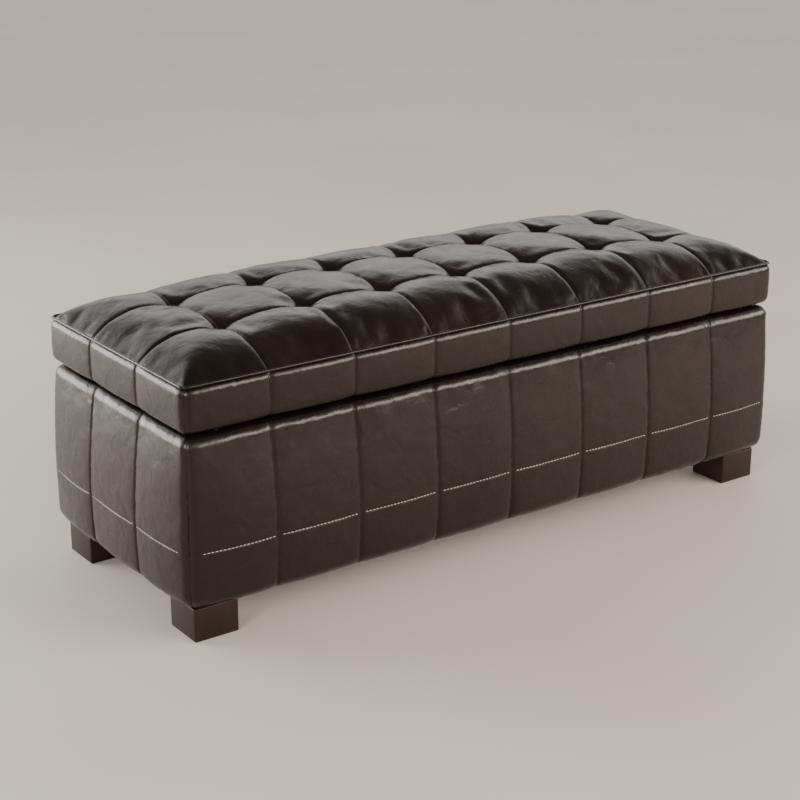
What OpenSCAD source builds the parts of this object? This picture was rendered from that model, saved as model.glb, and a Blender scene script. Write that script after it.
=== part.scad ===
// Upholstered storage bench with a tufted, hinged lid.
// X runs along the bench, -Y is the front, Z is up, and the origin is on the floor under the centre.

/* [Overall] */
// Length over the padded base at its fullest
overall_len = 1220; // [1000:10:1500]
// Depth over the padded base at its fullest
overall_dep = 470; // [400:5:600]
// Height from the floor to the crown of the lid
overall_h = 457; // [430:1:560]

/* [Base] */
// Height of the leather rim that the lid closes on
rim_z = 329; // [260:1:360]
// How far the base bellies out past its own rim
belly_out = 14; // [4:1:18]
// Height at which the base is fullest
belly_z = 140; // [110:5:180]
// Radius of the padded edge on the rim and under the lid
edge_r = 14; // [12:1:18]
// Radius of the padded edge under the base
hem_r = 25; // [15:1:30]
// Corner radius of the leather, seen from above
corner_r = 20; // [16:1:30]
// Thickness of the wooden side boards
board_t = 15; // [12:1:20]
// Foam between a side board and its leather, where the base is fullest
pad_t = 17.5; // [14:0.5:20]
// Thickness of the leather
leather_t = 1.5; // [1:0.1:2]
// Thickness of the bottom board
bottom_t = 12; // [9:1:18]
// Leg of the triangular corner blocks
block_leg = 30; // [20:1:45]
// Thickness of the cloth lining
lining_t = 1; // [0.5:0.1:2]
// How far the leather turns in over the rim and under the base
turn_in = 26; // [15:1:40]

/* [Feet] */
// Side of a square foot
foot_w = 76; // [50:1:100]
// Height of a foot
foot_h = 55; // [30:1:90]
// Distance from the rim of the leather in to the outer face of a foot
foot_inset = 9; // [5:1:40]
// Diameter of the bolt that holds a foot
foot_bolt_d = 8; // [6:1:12]

/* [Lid] */
// Gap between the rim and the underside of the lid
lid_gap = 4; // [3:0.5:8]
// Height of the welt above the floor
welt_z = 407; // [380:1:440]
// Diameter of the welt cord
welt_d = 5; // [3:0.5:8]
// How far in from the side the crown of the lid goes flat
crown_in = 80; // [40:5:120]
// Thickness of the lid board
lid_board_t = 15; // [12:1:20]
// Thickness of the wadding under the top leather
wadding_t = 6; // [3:1:12]

/* [Tufting] */
// Distance between the tufts
tuft_pitch = 150; // [110:5:160]
// Number of tufts along the lid
tufts_long = 7; // [3:1:7]
// Number of rows of tufts
tuft_rows = 2; // [1:1:2]
// Depth of a tuft below the crown
tuft_depth = 27; // [15:1:35]
// Diameter of a tuft at the crown
tuft_d = 70; // [40:5:90]
// Diameter of the tufting twine
twine_d = 3; // [2:0.5:5]
// Diameter of the washer that anchors the twine
anchor_d = 22; // [15:1:30]

/* [Hinges] */
// Number of hinges
hinge_count = 3; // [2:1:4]
// Length of one hinge
hinge_len = 64; // [40:1:90]
// Distance between neighbouring hinges
hinge_pitch = 430; // [300:10:450]
// Diameter of the hinge pin
pin_d = 2.5; // [2:0.1:3]
// Running clearance round the pin
pin_clear = 0.05; // [0.02:0.01:0.1]
// Outside diameter of a knuckle
knuckle_d = 5.6; // [5:0.1:6]
// Thickness of a hinge leaf
leaf_t = 1.5; // [1:0.1:1.8]
// Width of the leaf on the base, from the axis
base_leaf_w = 13; // [11:0.5:16]
// Width of the leaf on the lid, from the axis
lid_leaf_w = 30; // [24:1:40]
// Diameter of a hinge screw
screw_d = 3; // [2.5:0.1:3.5]

/* [Hidden] */
$fn = 48;
fit = 0.3;
big = 2000;

dust_t = 0.8;
hem_z = foot_h + dust_t;
frame_z = hem_z + leather_t;
frame_len = overall_len - 2 * (pad_t + leather_t);
frame_dep = overall_dep - 2 * (pad_t + leather_t);
well_len = frame_len - 2 * board_t;
well_dep = frame_dep - 2 * board_t;
floor_z = frame_z + bottom_t;
board_top = rim_z - leather_t - 4.5;
rim_len = overall_len - 2 * belly_out;
rim_dep = overall_dep - 2 * belly_out;

lid_z = rim_z + lid_gap;
lid_len = rim_len;
lid_dep = rim_dep;
lid_board_z = lid_z + leather_t;
lid_board_top = lid_board_z + lid_board_t;
lid_board_len = lid_len - 2 * edge_r;
lid_board_dep = lid_dep - 2 * edge_r;
crown_h = overall_h - welt_z;
tuft_z = overall_h - tuft_depth;
anchor_t = 3;
anchor_recess = 5;
staple_t = 0.5;

// The axis lies this far behind the centres of the two padded edges, so that they clear each other as the lid turns.
axis_back = edge_r * 3 / 7;
axis_y = rim_dep / 2 - edge_r + axis_back;
axis_z = rim_z + lid_gap / 2;
knuckles = 5;
knuckle_gap = 0.3;
knuckle_len = hinge_len / knuckles;

tee_flange_t = 1.5;
tee_barrel_d = foot_bolt_d + 3;
lining_z = floor_z + tee_flange_t;
lining_top = rim_z - turn_in;
foot_x = rim_len / 2 - foot_inset - foot_w / 2;
foot_y = rim_dep / 2 - foot_inset - foot_w / 2;

leather_c = [0.18, 0.13, 0.11];
foam_c = [0.93, 0.88, 0.66];
wood_c = [0.76, 0.62, 0.43];
cloth_c = [0.12, 0.12, 0.13];
foot_c = [0.14, 0.1, 0.08];
metal_c = [0.55, 0.55, 0.57];
twine_c = [0.75, 0.72, 0.62];

SIDES = ["front", "back", "left", "right"];
CORNERS = ["front_left", "front_right", "back_left", "back_right"];
HINGES = [for (i = [1:hinge_count]) str(i)];

// Half the width of the base at height z, where w is half its width at its fullest.
function belly(w, z) =
    w - belly_out * pow((z - belly_z) / (rim_z - edge_r - belly_z), 2);

function arc(cu, cz, ru, rz, from, to, steps) =
    [for (i = [0:steps]) let (a = from + (to - from) * i / steps) [cu + ru * cos(a), cz + rz * sin(a)]];

function both_sides(right) =
    concat(right, [for (i = [len(right) - 1:-1:0]) [-right[i][0], right[i][1]]]);

// Section of the padded base, with every face moved in by t.
function base_section(w, t) =
    let (
        low_z = hem_z + hem_r,
        low_u = belly(w, low_z),
        top_z = rim_z - edge_r,
        steps = 6
    )
    both_sides(concat(
        arc(low_u - hem_r, low_z, hem_r - t, hem_r - t, -90, 0, 5),
        [for (i = [1:steps - 1]) let (z = low_z + (top_z - low_z) * i / steps) [belly(w, z) - t, z]],
        arc(w - belly_out - edge_r, top_z, edge_r - t, edge_r - t, 0, 90, 5)
    ));

// Section of the padded lid, with every face moved in by t.
function lid_section(w, t) =
    both_sides(concat(
        arc(w - edge_r, lid_z + edge_r, edge_r - t, edge_r - t, -90, 0, 5),
        arc(w - crown_in, welt_z, crown_in - t, crown_h - t, 0, 90, 7)
    ));

module bar(x, y, z0, z1) {
    translate([-x / 2, -y / 2, z0]) cube([x, y, z1 - z0]);
}

module round_bar(x, y, r, z0, z1) {
    bar(x - 2 * r, y, z0, z1);
    bar(x, y - 2 * r, z0, z1);
    for (sx = [-1, 1], sy = [-1, 1])
        translate([sx * (x / 2 - r), sy * (y / 2 - r), z0]) cylinder(r = r, h = z1 - z0);
}

// The solid whose sections along X and along Y are the two outlines, with round corners.
module two_way(across, along, x, y, r) {
    intersection() {
        rotate([90, 0, 90]) translate([0, 0, -big / 2]) linear_extrude(big) polygon(across);
        rotate([90, 0, 0]) translate([0, 0, -big / 2]) linear_extrude(big) polygon(along);
        round_bar(x, y, r, -1, big / 2);
    }
}

module base_body(t) {
    two_way(base_section(overall_dep / 2, t), base_section(overall_len / 2, t),
        overall_len - 2 * t, overall_dep - 2 * t, corner_r - t);
}

module lid_body(t) {
    two_way(lid_section(lid_dep / 2, t), lid_section(lid_len / 2, t),
        lid_len - 2 * t, lid_dep - 2 * t, corner_r - t);
}

// The mitred quarter of a ring that belongs to one side.
module quarter(side, x, y) {
    reach = (x - y) / 2;
    out = 20;
    end_on = side == "left" || side == "right";
    flip = side == "front" || side == "left" ? 1 : 0;
    outline = end_on
        ? [[reach, 0], [x / 2 + out, -y / 2 - out], [x / 2 + out, y / 2 + out]]
        : [[-reach, 0], [reach, 0], [x / 2 + out, y / 2 + out], [-x / 2 - out, y / 2 + out]];
    mirror([end_on ? flip : 0, end_on ? 0 : flip, 0]) linear_extrude(big) polygon(outline);
}

module at_corners(x, y, z = 0) {
    for (sx = [-1, 1], sy = [-1, 1]) translate([sx * x, sy * y, z]) children();
}

module at_tufts() {
    for (i = [0:tufts_long - 1], j = [0:tuft_rows - 1])
        translate([(i - (tufts_long - 1) / 2) * tuft_pitch, (j - (tuft_rows - 1) / 2) * tuft_pitch, 0])
            children();
}

// ---- base ----

// Its outer edges are eased to the round of the leather.
module side_board(side) {
    end_on = side == "left" || side == "right";
    s = side == "front" || side == "left" ? -1 : 1;
    color(wood_c) intersection() {
        if (end_on) translate([s * (frame_len - board_t) / 2, 0, 0]) bar(board_t, well_dep, frame_z, board_top);
        else translate([0, s * (frame_dep - board_t) / 2, 0]) bar(frame_len, board_t, frame_z, board_top);
        base_body(leather_t);
    }
}

module bottom_board() {
    color(wood_c) difference() {
        bar(well_len, well_dep, frame_z, floor_z);
        at_corners(foot_x, foot_y, frame_z - 1) cylinder(d = tee_barrel_d, h = bottom_t + 2);
    }
}

// A right-angled wedge in the corner of the well at sx, sy.
module wedge(sx, sy, leg, z0, z1) {
    translate([sx * well_len / 2, sy * well_dep / 2, z0])
        linear_extrude(z1 - z0) polygon([[0, 0], [-sx * leg, 0], [0, -sy * leg]]);
}

module corner_blocks() {
    color(wood_c) for (sx = [-1, 1], sy = [-1, 1]) wedge(sx, sy, block_leg, lining_z, lining_top);
}

module frame_screws() {
    color(metal_c)
        for (sx = [-1, 1], sy = [-1, 1], z = [frame_z + 40 : 70 : board_top - 20])
            translate([sx * (frame_len - board_t) / 2, sy * frame_dep / 2, z]) rotate([sy * 90, 0, 0])
                cylinder(d = 4, h = 45);
}

module side_pad(side) {
    color(foam_c) intersection() {
        difference() {
            base_body(leather_t);
            bar(frame_len, frame_dep, 0, board_top);
            bar(well_len, well_dep, 0, big);
        }
        quarter(side, overall_len, overall_dep);
    }
}

module side_cover(side) {
    color(leather_c) intersection() {
        difference() {
            base_body(0);
            base_inside();
            bar(well_len - 2 * leather_t, well_dep - 2 * leather_t, rim_z - turn_in, big);
            bar(well_len, well_dep, hem_z + leather_t, rim_z - turn_in);
            bar(frame_len - 2 * turn_in, frame_dep - 2 * turn_in, 0, frame_z + 1);
        }
        quarter(side, overall_len, overall_dep);
    }
}

// What the base leather wraps: foam and boards, without the well.
module base_inside() {
    difference() {
        base_body(leather_t);
        bar(well_len, well_dep, rim_z - turn_in, big);
    }
}

module side_lining(side) {
    end_on = side == "left" || side == "right";
    s = side == "front" || side == "left" ? -1 : 1;
    color(cloth_c)
        if (end_on) translate([s * (well_len - lining_t) / 2, 0, 0])
            bar(lining_t, well_dep - 2 * block_leg, lining_z, lining_top);
        else translate([0, s * (well_dep - lining_t) / 2, 0])
            bar(well_len - 2 * block_leg, lining_t, lining_z, lining_top);
}

module corner_linings() {
    slant = lining_t * sqrt(2);
    color(cloth_c) for (sx = [-1, 1], sy = [-1, 1]) difference() {
        wedge(sx, sy, block_leg + slant, lining_z, lining_top);
        wedge(sx, sy, block_leg, lining_z - 1, lining_top + 1);
        translate([sx * (well_len - lining_t) / 2, 0, 0])
            bar(lining_t, well_dep - 2 * block_leg, 0, big);
        translate([0, sy * (well_dep - lining_t) / 2, 0])
            bar(well_len - 2 * block_leg, lining_t, 0, big);
    }
}

module bottom_lining() {
    inner_x = well_len - 2 * lining_t;
    inner_y = well_dep - 2 * lining_t;
    slant = (block_leg + lining_t * sqrt(2)) * 1.05;
    color(cloth_c) difference() {
        bar(inner_x, inner_y, lining_z, lining_z + lining_t);
        for (sx = [-1, 1], sy = [-1, 1]) wedge(sx, sy, slant, 0, big);
    }
}

module dust_cover() {
    color(cloth_c) difference() {
        bar(frame_len - 20, frame_dep - 20, foot_h, hem_z);
        at_corners(foot_x, foot_y) cylinder(d = foot_bolt_d + 1, h = big);
    }
}

module dust_cover_staples() {
    long_count = 16;
    short_count = 4;
    inset = 16;
    long_run = 2 * foot_x - foot_w - 40;
    short_run = 2 * foot_y - foot_w - 40;
    color(metal_c) {
        for (i = [0:long_count - 1], s = [-1, 1])
            translate([(i / (long_count - 1) - 0.5) * long_run, s * (frame_dep / 2 - inset), 0])
                bar(12, 1.2, foot_h - staple_t, foot_h);
        for (i = [0:short_count - 1], s = [-1, 1])
            translate([s * (frame_len / 2 - inset), (i / (short_count - 1) - 0.5) * short_run, 0])
                bar(1.2, 12, foot_h - staple_t, foot_h);
    }
}

module foot(corner) {
    k = search([corner], CORNERS)[0];
    sx = k % 2 == 0 ? -1 : 1;
    sy = k < 2 ? -1 : 1;
    chamfer = 3;
    color(foot_c) translate([sx * foot_x, sy * foot_y, 0]) difference() {
        union() {
            bar(foot_w, foot_w - 2 * chamfer, 0, foot_h);
            bar(foot_w - 2 * chamfer, foot_w, 0, foot_h);
            at_corners(foot_w / 2 - chamfer, foot_w / 2 - chamfer) cylinder(r = chamfer, h = foot_h);
        }
        translate([0, 0, foot_h - 35]) cylinder(d = foot_bolt_d, h = big);
    }
}

module foot_bolts() {
    color(metal_c) at_corners(foot_x, foot_y, foot_h - 34)
        cylinder(d = foot_bolt_d, h = 34 + dust_t + leather_t + bottom_t);
}

module foot_tee_nuts() {
    color(metal_c) at_corners(foot_x, foot_y) difference() {
        union() {
            translate([0, 0, frame_z]) cylinder(d = tee_barrel_d, h = bottom_t);
            translate([0, 0, floor_z]) cylinder(d = tee_barrel_d + 10, h = tee_flange_t);
        }
        cylinder(d = foot_bolt_d, h = floor_z);
    }
}

module rim_buffers() {
    buffer_d = 8;
    color("black") at_corners(rim_len / 2 - 60, well_dep / 2 + buffer_d / 2, rim_z)
        cylinder(d = buffer_d, h = lid_gap - fit);
}

// ---- lid ----

module lid_board() {
    color(wood_c) difference() {
        bar(lid_board_len, lid_board_dep, lid_board_z, lid_board_top);
        at_tufts() {
            translate([0, 0, lid_board_z - 1]) cylinder(d = twine_d, h = lid_board_t + 2);
            translate([0, 0, lid_board_z - 1]) cylinder(d = anchor_d + 1, h = anchor_recess + 1);
        }
    }
}

module tuft_pits(drop) {
    at_tufts() translate([0, 0, tuft_z - drop])
        cylinder(r1 = twine_d / 2 + drop, r2 = tuft_d / 2 + drop, h = tuft_depth + 0.01);
}

// The lid under its leather, down to t below the outer face, with the tufts pulled in.
module lid_fill(t) {
    difference() {
        lid_body(t);
        tuft_pits(t);
        bar(lid_board_len, lid_board_dep, 0, lid_board_top);
    }
}

module lid_foam() {
    color(foam_c) difference() {
        lid_fill(leather_t);
        wadding_space();
        at_tufts() cylinder(d = twine_d, h = big);
    }
}

// Everything above the welt that lies within the wadding's depth of the top leather.
module wadding_space() {
    difference() {
        bar(big, big, welt_z, big);
        difference() {
            lid_body(leather_t + wadding_t);
            tuft_pits(leather_t + wadding_t);
        }
    }
}

module lid_wadding() {
    color("white") difference() {
        intersection() {
            lid_fill(leather_t);
            wadding_space();
        }
        at_tufts() cylinder(d = twine_d, h = big);
    }
}

module lid_top_cover() {
    color(leather_c) difference() {
        intersection() {
            difference() {
                lid_body(0);
                tuft_pits(0);
            }
            bar(big, big, welt_z + welt_d / 2, big);
        }
        difference() {
            lid_body(leather_t);
            tuft_pits(leather_t);
        }
        at_tufts() cylinder(d = twine_d, h = big);
    }
}

module lid_border(side) {
    color(leather_c) intersection() {
        difference() {
            lid_body(0);
            bar(big, big, welt_z - welt_d / 2, big);
            lid_body(leather_t);
            bar(lid_board_len - 2 * turn_in, lid_board_dep - 2 * turn_in, 0, lid_board_top);
        }
        quarter(side, lid_len, lid_dep);
    }
}

module lid_welt() {
    out = welt_d / 2 - leather_t;
    x = lid_len / 2 - corner_r;
    y = lid_dep / 2 - corner_r;
    r = corner_r + out;
    color(leather_c) translate([0, 0, welt_z]) {
        for (s = [-1, 1]) {
            translate([-x, s * (y + r), 0]) rotate([0, 90, 0]) cylinder(d = welt_d, h = 2 * x);
            translate([s * (x + r), y, 0]) rotate([90, 0, 0]) cylinder(d = welt_d, h = 2 * y);
        }
        for (sx = [-1, 1], sy = [-1, 1])
            translate([sx * x, sy * y, 0]) mirror([sx < 0 ? 1 : 0, 0, 0]) mirror([0, sy < 0 ? 1 : 0, 0])
                rotate_extrude(angle = 90) translate([r, 0]) circle(d = welt_d);
    }
}

module lid_lining() {
    color(cloth_c) bar(lid_board_len - 2 * turn_in - 2 * fit, lid_board_dep - 2 * turn_in - 2 * fit,
        lid_board_z - lining_t, lid_board_z);
}

module tuft_twines() {
    foot_of_twine = lid_board_z + anchor_recess;
    color(twine_c) at_tufts() translate([0, 0, foot_of_twine]) cylinder(d = twine_d, h = tuft_z - foot_of_twine);
}

module tuft_anchors() {
    color(metal_c) at_tufts() translate([0, 0, lid_board_z + anchor_recess - anchor_t])
        cylinder(d = anchor_d, h = anchor_t);
}

// ---- hinges ----

function hinge_x(h) = (search([h], HINGES)[0] - (hinge_count - 1) / 2) * hinge_pitch;

// One leaf: its knuckles, the plate, and the notches that clear the other leaf's knuckles.
module leaf(own, width, z0) {
    barrel = knuckle_d / 2;
    notch = barrel + 0.5;
    difference() {
        union() {
            translate([-hinge_len / 2, -width, z0]) cube([hinge_len, width, leaf_t]);
            for (k = own) translate([(k - knuckles / 2) * knuckle_len + knuckle_gap / 2, 0, 0])
                rotate([0, 90, 0]) cylinder(d = knuckle_d, h = knuckle_len - knuckle_gap);
        }
        translate([-hinge_len, 0, 0]) rotate([0, 90, 0]) cylinder(d = pin_d + 2 * pin_clear, h = 2 * hinge_len);
        for (k = [0:knuckles - 1]) if (len(search(k, own)) == 0)
            translate([(k - knuckles / 2) * knuckle_len - knuckle_gap / 2, -notch, -notch])
                cube([knuckle_len + knuckle_gap, 2 * notch, 2 * notch]);
        at_screws(width) translate([0, 0, z0 - 1]) cylinder(d = screw_d, h = leaf_t + 2);
    }
}

module at_screws(width) {
    for (i = [-1:1]) translate([i * hinge_len / 3, -width + 5, 0]) children();
}

module hinge_base_leaf(h) {
    color(metal_c) translate([hinge_x(h), axis_y, axis_z]) leaf([0, 2, 4], base_leaf_w, -lid_gap / 2);
}

module hinge_lid_leaf(h) {
    color(metal_c) translate([hinge_x(h), axis_y, axis_z]) leaf([1, 3], lid_leaf_w, lid_gap / 2 - leaf_t);
}

module hinge_pin(h) {
    head_t = 1;
    color(metal_c) translate([hinge_x(h) - hinge_len / 2, axis_y, axis_z]) rotate([0, 90, 0]) {
        translate([0, 0, -head_t - knuckle_gap]) cylinder(d = pin_d, h = hinge_len + 2 * (head_t + knuckle_gap));
        for (z = [-head_t - knuckle_gap, hinge_len + knuckle_gap])
            translate([0, 0, z]) cylinder(d = knuckle_d - 1, h = head_t);
    }
}

module hinge_screws_base() {
    color(metal_c) for (h = HINGES) translate([hinge_x(h), axis_y, axis_z - lid_gap / 2])
        at_screws(base_leaf_w) translate([0, 0, -20]) cylinder(d = screw_d, h = 20 + leaf_t);
}

module hinge_screws_lid() {
    color(metal_c) for (h = HINGES) translate([hinge_x(h), axis_y, axis_z + lid_gap / 2 - leaf_t])
        at_screws(lid_leaf_w) cylinder(d = screw_d, h = 14);
}

for (s = SIDES) {
    side_board(s);
    side_pad(s);
    side_cover(s);
    side_lining(s);
    lid_border(s);
}
for (c = CORNERS) foot(c);
for (h = HINGES) {
    hinge_base_leaf(h);
    hinge_lid_leaf(h);
    hinge_pin(h);
}
bottom_board();
corner_blocks();
frame_screws();
corner_linings();
bottom_lining();
dust_cover();
dust_cover_staples();
foot_bolts();
foot_tee_nuts();
rim_buffers();
lid_board();
lid_foam();
lid_wadding();
lid_top_cover();
lid_welt();
lid_lining();
tuft_twines();
tuft_anchors();
hinge_screws_base();
hinge_screws_lid();
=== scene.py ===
import math

import bmesh
import bpy
import numpy as np
from mathutils import Matrix, Vector, noise


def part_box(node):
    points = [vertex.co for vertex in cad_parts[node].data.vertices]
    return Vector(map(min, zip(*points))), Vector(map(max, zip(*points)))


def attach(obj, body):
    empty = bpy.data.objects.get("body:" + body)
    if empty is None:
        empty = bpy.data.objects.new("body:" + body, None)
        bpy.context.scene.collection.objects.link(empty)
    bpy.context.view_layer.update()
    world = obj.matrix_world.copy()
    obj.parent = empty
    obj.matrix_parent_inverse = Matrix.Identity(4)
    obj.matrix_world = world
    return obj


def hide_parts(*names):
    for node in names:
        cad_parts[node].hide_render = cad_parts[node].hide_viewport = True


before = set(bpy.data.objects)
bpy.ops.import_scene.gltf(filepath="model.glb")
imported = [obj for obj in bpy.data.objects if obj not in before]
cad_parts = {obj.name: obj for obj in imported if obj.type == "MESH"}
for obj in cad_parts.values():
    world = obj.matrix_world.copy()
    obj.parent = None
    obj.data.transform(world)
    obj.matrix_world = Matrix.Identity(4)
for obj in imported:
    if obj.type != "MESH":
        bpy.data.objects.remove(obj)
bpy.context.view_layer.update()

# ---------------------------------------------------------------------------------------------
# Feet: four square blocks of solid wood, sawn, eased at the edges and stained dark.
# Each is bolted up through the bottom board.

MM = 0.001
SIDES = ("front", "back", "left", "right")
LONG = ("front", "back")
CORNERS = ("front_left", "front_right", "back_left", "back_right")


def linear(hexadecimal):
    """A colour for a shader from its sRGB hex value."""
    channels = [int(hexadecimal[i:i + 2], 16) / 255 for i in (1, 3, 5)]
    return [c / 12.92 if c < 0.04045 else ((c + 0.055) / 1.055) ** 2.4 for c in channels] + [1]


def add(tree, kind, inputs=None, **settings):
    """Adds a node. An input takes a value, or the output that feeds it."""
    node = tree.nodes.new(kind)
    for name, value in settings.items():
        setattr(node, name, value)
    for name, value in (inputs or {}).items():
        if isinstance(value, bpy.types.NodeSocket):
            tree.links.new(value, node.inputs[name])
        else:
            node.inputs[name].default_value = value
    return node


def start_material(name, **surface):
    """A new material, with its shader's own sockets set, its tree, its shader and its Object coordinates."""
    material = bpy.data.materials.new(name)
    material.use_nodes = True
    tree = material.node_tree
    shader = tree.nodes["Principled BSDF"]
    for socket, value in surface.items():
        shader.inputs[socket.replace("_", " ")].default_value = value
    return material, tree, shader, add(tree, "ShaderNodeTexCoord").outputs["Object"]


def ramp(tree, factor, *stops):
    """Turns a pattern into colours: each stop is a place and a hex colour."""
    node = add(tree, "ShaderNodeValToRGB", {"Fac": factor})
    elements = node.color_ramp.elements
    while len(elements) < len(stops):
        elements.new(0.5)
    for element, (place, colour) in zip(elements, stops):
        element.position = place
        element.color = linear(colour)
    return node.outputs["Color"]


def between(tree, factor, low, high):
    """Turns a pattern from 0 to 1 into a number from low to high."""
    return add(tree, "ShaderNodeMapRange", {"Value": factor, "To Min": low, "To Max": high}).outputs["Result"]


def stained_wood():
    """Beech under an opaque dark stain and satin lacquer: faint long grain, soft gloss."""
    grain_mm = 3.5
    material, tree, shader, place = start_material("stained_beech", Specular_IOR_Level=0.35,
                                                   Specular_Tint=linear("#e8d6ca"))
    along = add(tree, "ShaderNodeMapping", {"Vector": place, "Scale": (1, 1, 0.08)}).outputs["Vector"]
    grain = add(tree, "ShaderNodeTexNoise",
                {"Vector": along, "Scale": 1 / (grain_mm * MM), "Detail": 4, "Roughness": 0.6}).outputs["Fac"]
    tree.links.new(ramp(tree, grain, (0.3, "#170e0b"), (0.75, "#251812")), shader.inputs["Base Color"])
    tree.links.new(between(tree, grain, 0.34, 0.5), shader.inputs["Roughness"])
    bump = add(tree, "ShaderNodeBump", {"Height": grain, "Strength": 0.25, "Distance": 0.15 * MM})
    tree.links.new(bump.outputs["Normal"], shader.inputs["Normal"])
    return material


def new_piece(name, bm, material, body, slot, *nodes):
    """Makes a finished mesh a piece that rides on a body and stands for CAD nodes."""
    mesh = bpy.data.meshes.new(name)
    bm.to_mesh(mesh)
    bm.free()
    mesh.materials.append(material)
    mesh.shade_smooth()
    piece = bpy.data.objects.new(name, mesh)
    bpy.context.scene.collection.objects.link(piece)
    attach(piece, body)
    if nodes:
        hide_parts(*nodes)
    return piece


def flat_shaded_edges(piece, degrees=35):
    """Keeps the flat faces of a hard piece flat where they meet at an angle."""
    piece.data.set_sharp_from_angle(angle=math.radians(degrees))


def block(low, high):
    """A bmesh box between two corners."""
    bm = bmesh.new()
    bmesh.ops.create_cube(bm, size=1)
    bmesh.ops.scale(bm, vec=high - low, verts=bm.verts)
    bmesh.ops.translate(bm, vec=(low + high) / 2, verts=bm.verts)
    return bm


def eased(bm, edges, ease, segments):
    """Rounds edges over."""
    bmesh.ops.bevel(bm, geom=edges, offset=ease, segments=segments, profile=0.5, affect="EDGES", material=-1)


foot_wood = stained_wood()
foot_ease = 2.5 * MM
for corner in CORNERS:
    bm = block(*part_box("foot_" + corner))
    eased(bm, bm.edges[:], foot_ease, 3)
    foot = new_piece("block_foot_" + corner, bm, foot_wood, "base", "foot_wood", "foot_" + corner)
    flat_shaded_edges(foot)

# ---------------------------------------------------------------------------------------------
# Carcass: plywood side boards and bottom, corner blocks and zinc-plated screws, bolts and tee nuts.
# They carry the load and are hidden by the leather and the lining.


def plywood():
    """Birch plywood, sanded and left raw: pale, with a broad soft figure and no gloss."""
    figure_mm = 14
    material, tree, shader, place = start_material("birch_plywood", Roughness=0.75)
    along = add(tree, "ShaderNodeMapping", {"Vector": place, "Scale": (0.12, 1, 1)}).outputs["Vector"]
    figure = add(tree, "ShaderNodeTexNoise",
                 {"Vector": along, "Scale": 1 / (figure_mm * MM), "Detail": 6, "Distortion": 0.6}).outputs["Fac"]
    tree.links.new(ramp(tree, figure, (0.25, "#b08a5c"), (0.7, "#d9bd90")), shader.inputs["Base Color"])
    bump = add(tree, "ShaderNodeBump", {"Height": figure, "Strength": 0.3, "Distance": 0.2 * MM})
    tree.links.new(bump.outputs["Normal"], shader.inputs["Normal"])
    return material


def zinc_steel():
    """Zinc-plated steel: bright, a little mottled, fairly rough."""
    mottle_mm = 2
    material, tree, shader, place = start_material("zinc_plated_steel", Metallic=1.0)
    mottle = add(tree, "ShaderNodeTexNoise",
                 {"Vector": place, "Scale": 1 / (mottle_mm * MM), "Detail": 3}).outputs["Fac"]
    tree.links.new(ramp(tree, mottle, (0.3, "#9a9b99"), (0.7, "#c4c5c2")), shader.inputs["Base Color"])
    tree.links.new(between(tree, mottle, 0.28, 0.42), shader.inputs["Roughness"])
    return material


def dress(material, slot, *names):
    """Gives CAD nodes that keep their own shape a finish."""
    for name in names:
        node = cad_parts[name]
        node.data.materials.clear()
        node.data.materials.append(material)


raw_ply = plywood()
zinc = zinc_steel()
dress(raw_ply, "plywood", "bottom_board", "corner_blocks", "lid_board")
dress(zinc, "zinc_steel", "frame_screws", "foot_bolts", "foot_tee_nuts", "dust_cover_staples", "tuft_anchors")

top_ease, hem_ease, corner_ease, hem_clear = 14 * MM, 14.5 * MM, 8 * MM, 12 * MM
touching = 0.1 * MM
for side in SIDES:
    low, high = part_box(side + "_board")
    low.z += hem_clear
    bm = block(low, high)
    across = 1 if side in LONG else 0
    face = low[across] if side in ("front", "left") else high[across]
    for level, ease in ((high.z, top_ease), (low.z, hem_ease)):
        eased(bm, [e for e in bm.edges if all(abs(v.co.z - level) < touching and abs(v.co[across] - face) < touching
                                              for v in e.verts)], ease, 6)
    if side in LONG:
        eased(bm, [e for e in bm.edges if all(abs(v.co.y - face) < touching for v in e.verts)
                   and abs(e.verts[0].co.z - e.verts[1].co.z) > MM], corner_ease, 4)
    board = new_piece("ply_board_" + side, bm, raw_ply, "base", "plywood", side + "_board")
    flat_shaded_edges(board)

# ---------------------------------------------------------------------------------------------
# Foam pads of the base: one slab a side, glued to the board and rounded over its edges.
# They swell out to the leather between its seams.

hem_z, rim_z = [corner.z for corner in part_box("front_cover")]
edge_r, hem_r, corner_r = 20 * MM, 25 * MM, 13 * MM
belly_out, belly_z = 14 * MM, 140 * MM
stitch_z, stitch_band = 150 * MM, 9 * MM
panel = 150 * MM
half = {"front": -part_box("lid_border_left")[0].x, "left": -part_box("lid_border_front")[0].y}
half["back"], half["right"] = half["front"], half["left"]
leather_t = 1.5 * MM
rim_width = half["left"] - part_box("back_board")[0].y + leather_t
turn_in, turn_under = 26 * MM, 22 * MM
OUT = {"front": Vector((0, -1, 0)), "back": Vector((0, 1, 0)), "left": Vector((-1, 0, 0)), "right": Vector((1, 0, 0))}
UP = Vector((0, 0, 1))


def soft_noise(points, size, seed):
    """Smooth random values from -1 to 1 at points, in waves about size long."""
    flat = points.reshape(-1, 3) / size + seed
    return np.array([noise.noise(p) for p in flat]).reshape(points.shape[:-1])


def clustered(low, high, count, tightness=0.8):
    """Numbers from low to high that crowd towards both ends, where the seams are."""
    t = np.linspace(0, 1, count + 1)
    return low + (high - low) * (t - tightness * np.sin(2 * np.pi * t) / (2 * np.pi))


def joined(*runs):
    """Runs of numbers or points end to end, with the shared ends kept once."""
    return np.concatenate([runs[0], *[run[1:] for run in runs[1:]]])


def arc(centre, radius, start, end, count):
    """Points on a round stretch of an outline."""
    angles = np.radians(np.linspace(start, end, count + 1))
    return np.stack([centre[0] + radius * np.cos(angles), centre[1] + radius * np.sin(angles)], axis=1)


def line(start, end, count):
    """Points on a straight stretch of an outline."""
    return np.linspace(start, end, count + 1)


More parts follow.
